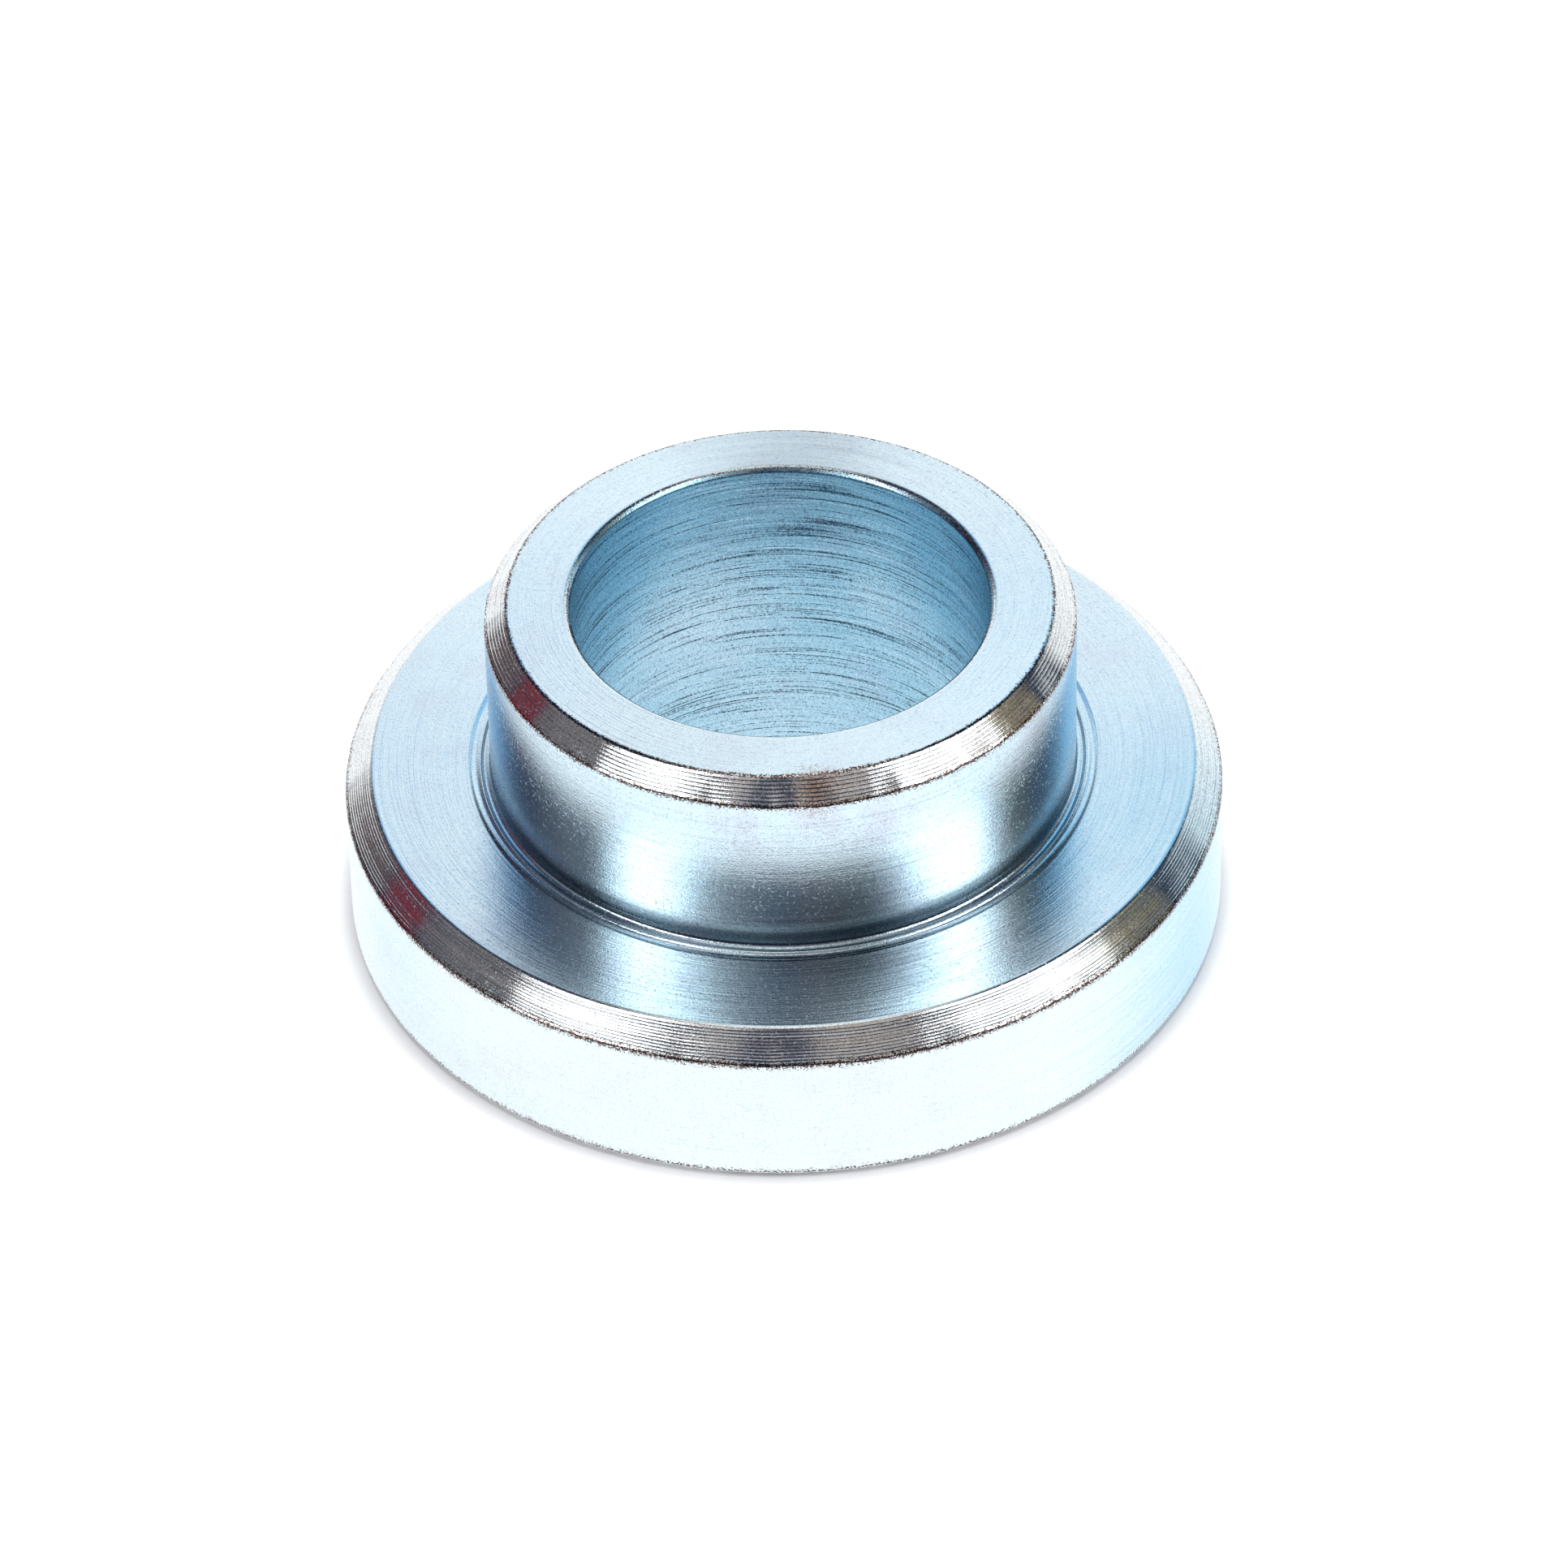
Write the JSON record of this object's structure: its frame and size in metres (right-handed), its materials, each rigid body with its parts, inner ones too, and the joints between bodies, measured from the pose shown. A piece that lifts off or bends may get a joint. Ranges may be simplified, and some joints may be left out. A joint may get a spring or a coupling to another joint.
{
  "type": "flanged bushing",
  "caption": "Round turned bushing with a wide chamfered flange, a narrower chamfered boss on it and a plain bore right through.",
  "frame": {"origin": "centre of the flange's flat base, on the axis of the bore", "axes": "+Z along the bore, from the flange's base towards the end of the boss. X and Y are any two directions across it, as the part is round"},
  "size_m": [0.036, 0.036, 0.0152],
  "materials": {
    "plated_steel": "bright zinc plate over turned steel, with fine feed marks"
  },
  "bodies": {
    "root": {"flanged_bushing": "plated_steel"}
  },
  "joints": []
}
